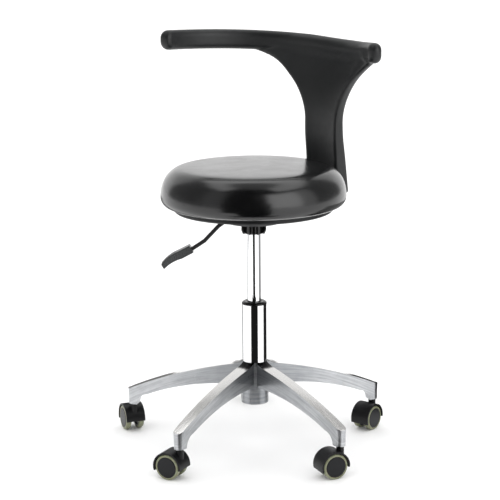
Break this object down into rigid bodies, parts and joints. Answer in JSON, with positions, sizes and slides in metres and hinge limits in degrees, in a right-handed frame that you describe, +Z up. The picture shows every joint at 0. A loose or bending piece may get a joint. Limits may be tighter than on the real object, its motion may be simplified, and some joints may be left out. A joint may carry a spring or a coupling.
{
  "type": "dentist stool",
  "caption": "Round upholstered stool on a gas column and a five-leg star base with twin-wheel casters, with a T-shaped armrest that turns around the seat and a height lever.",
  "frame": {"origin": "on the floor, on the column's axis", "axes": "+Z up along the column, +Y towards the armrest stem at rest, the lever between -X and -Y"},
  "size_m": [0.5552, 0.5422, 0.8186],
  "materials": {
    "polished_aluminium": "polished tops, satin sides",
    "column_chrome": "bright chrome",
    "plated_steel": "zinc plated",
    "black_steel": "black powder coat, fine texture",
    "bush_plastic": "satin black",
    "neck_plastic": "moulded black, semi-gloss",
    "handle_plastic": "moulded dark grey, semi-gloss",
    "pan_plastic": "moulded black, fine texture",
    "washer_nylon": "natural nylon",
    "hood_nylon": "moulded black, fine texture",
    "wheel_nylon": "moulded black, satin",
    "tread_polyurethane": "satin olive grey",
    "plywood": "raw plywood",
    "foam": "open cell",
    "seat_vinyl": "glossy black vinyl, fine grain",
    "arm_skin": "self-skinned polyurethane, satin"
  },
  "bodies": {
    "base": {"star_base": "polished_aluminium", "outer_column": "column_chrome", "column_bush": "bush_plastic", "bearing_races": "plated_steel", "bearing_balls": "plated_steel"},
    "rod": {"piston_rod": "plated_steel", "rod_clip": "plated_steel", "piston": "plated_steel"},
    "seat": {"gas_cylinder": "column_chrome", "rod_gland": "bush_plastic", "cone_socket": "neck_plastic", "mechanism_housing": "black_steel", "lever_pin": "plated_steel", "seat_plate": "black_steel", "turntable_washers": "washer_nylon", "seat_board": "plywood", "seat_bolts": "plated_steel", "seat_pan": "pan_plastic", "seat_foam": "foam", "seat_cover": "seat_vinyl"},
    "lever": {"lever_rod": "black_steel", "lever_handle": "handle_plastic"},
    "valve_pin": {"release_pin": "plated_steel"},
    "armrest": {"arm_bracket": "black_steel", "arm_pad": "arm_skin"},
    "caster_1": {"caster_1_hood": "hood_nylon", "caster_1_stem": "plated_steel", "caster_1_axle": "plated_steel"},
    "caster_1_wheel_left": {"caster_1_wheel_left_core": "wheel_nylon", "caster_1_wheel_left_tread": "tread_polyurethane"},
    "caster_1_wheel_right": {"caster_1_wheel_right_core": "wheel_nylon", "caster_1_wheel_right_tread": "tread_polyurethane"},
    "caster_2": {"caster_2_hood": "hood_nylon", "caster_2_stem": "plated_steel", "caster_2_axle": "plated_steel"},
    "caster_2_wheel_left": {"caster_2_wheel_left_core": "wheel_nylon", "caster_2_wheel_left_tread": "tread_polyurethane"},
    "caster_2_wheel_right": {"caster_2_wheel_right_core": "wheel_nylon", "caster_2_wheel_right_tread": "tread_polyurethane"},
    "caster_3": {"caster_3_hood": "hood_nylon", "caster_3_stem": "plated_steel", "caster_3_axle": "plated_steel"},
    "caster_3_wheel_left": {"caster_3_wheel_left_core": "wheel_nylon", "caster_3_wheel_left_tread": "tread_polyurethane"},
    "caster_3_wheel_right": {"caster_3_wheel_right_core": "wheel_nylon", "caster_3_wheel_right_tread": "tread_polyurethane"},
    "caster_4": {"caster_4_hood": "hood_nylon", "caster_4_stem": "plated_steel", "caster_4_axle": "plated_steel"},
    "caster_4_wheel_left": {"caster_4_wheel_left_core": "wheel_nylon", "caster_4_wheel_left_tread": "tread_polyurethane"},
    "caster_4_wheel_right": {"caster_4_wheel_right_core": "wheel_nylon", "caster_4_wheel_right_tread": "tread_polyurethane"},
    "caster_5": {"caster_5_hood": "hood_nylon", "caster_5_stem": "plated_steel", "caster_5_axle": "plated_steel"},
    "caster_5_wheel_left": {"caster_5_wheel_left_core": "wheel_nylon", "caster_5_wheel_left_tread": "tread_polyurethane"},
    "caster_5_wheel_right": {"caster_5_wheel_right_core": "wheel_nylon", "caster_5_wheel_right_tread": "tread_polyurethane"}
  },
  "joints": [
    {"name": "column_swivel", "type": "hinge", "parent": "base", "child": "rod", "pos_m": [0, 0, 0.1], "axis": [0, 0, 1], "continuous": true},
    {"name": "height_lift", "type": "slide", "parent": "rod", "child": "seat", "axis": [0, 0, 1], "range_m": [-0.125, 0.015]},
    {"name": "lever_pull", "type": "hinge", "parent": "seat", "child": "lever", "pos_m": [-0.01637, -0.01755, 0.4635], "axis": [-0.7314, 0.682, 0], "range_deg": [0, 7], "stiffness_Nm_per_rad": 0.6, "springref_deg": -17.19},
    {"name": "valve_press", "type": "slide", "parent": "seat", "child": "valve_pin", "axis": [0, 0, -1], "range_m": [0, 0.003]},
    {"name": "armrest_turn", "type": "hinge", "parent": "seat", "child": "armrest", "pos_m": [0, 0, 0.475], "axis": [0, 0, 1], "continuous": true},
    {"name": "caster_1_swivel", "type": "hinge", "parent": "base", "child": "caster_1", "pos_m": [0.25916, -0.02085, 0.06], "axis": [0, 0, 1], "continuous": true},
    {"name": "caster_1_wheel_left_roll", "type": "hinge", "parent": "caster_1", "child": "caster_1_wheel_left", "pos_m": [0.25324, -0.03785, 0.025], "axis": [-0.9444, 0.3289, 0], "continuous": true},
    {"name": "caster_1_wheel_right_roll", "type": "hinge", "parent": "caster_1", "child": "caster_1_wheel_right", "pos_m": [0.25324, -0.03785, 0.025], "axis": [-0.9444, 0.3289, 0], "continuous": true},
    {"name": "caster_2_swivel", "type": "hinge", "parent": "base", "child": "caster_2", "pos_m": [0.09992, 0.24003, 0.06], "axis": [0, 0, 1], "continuous": true},
    {"name": "caster_2_wheel_left_roll", "type": "hinge", "parent": "caster_2", "child": "caster_2_wheel_left", "pos_m": [0.10289, 0.22228, 0.025], "axis": [-0.9863, -0.165, 0], "continuous": true},
    {"name": "caster_2_wheel_right_roll", "type": "hinge", "parent": "caster_2", "child": "caster_2_wheel_right", "pos_m": [0.10289, 0.22228, 0.025], "axis": [-0.9863, -0.165, 0], "continuous": true},
    {"name": "caster_3_swivel", "type": "hinge", "parent": "base", "child": "caster_3", "pos_m": [-0.19741, 0.1692, 0.06], "axis": [0, 0, 1], "continuous": true},
    {"name": "caster_3_wheel_left_roll", "type": "hinge", "parent": "caster_3", "child": "caster_3_wheel_left", "pos_m": [-0.21058, 0.18148, 0.025], "axis": [0.682, 0.7314, 0], "continuous": true},
    {"name": "caster_3_wheel_right_roll", "type": "hinge", "parent": "caster_3", "child": "caster_3_wheel_right", "pos_m": [-0.21058, 0.18148, 0.025], "axis": [0.682, 0.7314, 0], "continuous": true},
    {"name": "caster_4_swivel", "type": "hinge", "parent": "base", "child": "caster_4", "pos_m": [-0.22192, -0.13546, 0.06], "axis": [0, 0, 1], "continuous": true},
    {"name": "caster_4_wheel_left_roll", "type": "hinge", "parent": "caster_4", "child": "caster_4_wheel_left", "pos_m": [-0.23867, -0.12887, 0.025], "axis": [0.3665, 0.9304, 0], "continuous": true},
    {"name": "caster_4_wheel_right_roll", "type": "hinge", "parent": "caster_4", "child": "caster_4_wheel_right", "pos_m": [-0.23867, -0.12887, 0.025], "axis": [0.3665, 0.9304, 0], "continuous": true},
    {"name": "caster_5_swivel", "type": "hinge", "parent": "base", "child": "caster_5", "pos_m": [0.06025, -0.25292, 0.06], "axis": [0, 0, 1], "continuous": true},
    {"name": "caster_5_wheel_left_roll", "type": "hinge", "parent": "caster_5", "child": "caster_5_wheel_left", "pos_m": [0.04327, -0.25887, 0.025], "axis": [-0.3305, 0.9438, 0], "continuous": true},
    {"name": "caster_5_wheel_right_roll", "type": "hinge", "parent": "caster_5", "child": "caster_5_wheel_right", "pos_m": [0.04327, -0.25887, 0.025], "axis": [-0.3305, 0.9438, 0], "continuous": true}
  ],
  "couplings": [
    {"joint": "valve_press", "follows": "lever_pull", "m_per_rad": 0.0245}
  ]
}
